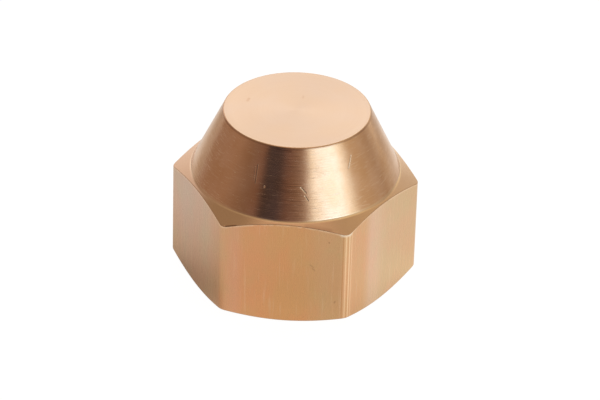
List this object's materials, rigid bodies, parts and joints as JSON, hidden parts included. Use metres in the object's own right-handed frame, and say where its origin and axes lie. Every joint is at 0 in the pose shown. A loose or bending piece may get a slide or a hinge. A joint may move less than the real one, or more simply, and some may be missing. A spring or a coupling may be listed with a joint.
{
  "type": "pipe cap",
  "caption": "Hexagonal brass flare cap with a closed conical crown, a blind internal thread and a loose copper sealing bonnet that turns inside it.",
  "frame": {"origin": "centre of the mouth face, on the thread's axis", "axes": "+Z along the thread's axis towards the closed crown, -Y out of one wrench flat, +X through a corner of the hexagon"},
  "size_m": [0.0252, 0.022, 0.0186],
  "materials": {
    "brass": "turned cone and crown, drawn flats, bare and bright",
    "copper": "soft annealed copper, pressed, dull"
  },
  "bodies": {
    "cap": {"cap_nut": "brass"},
    "bonnet": {"seal_bonnet": "copper"}
  },
  "joints": [
    {"name": "bonnet_spin", "type": "hinge", "parent": "cap", "child": "bonnet", "pos_m": [0, 0, 0.0118], "axis": [0, 0, 1], "continuous": true}
  ]
}
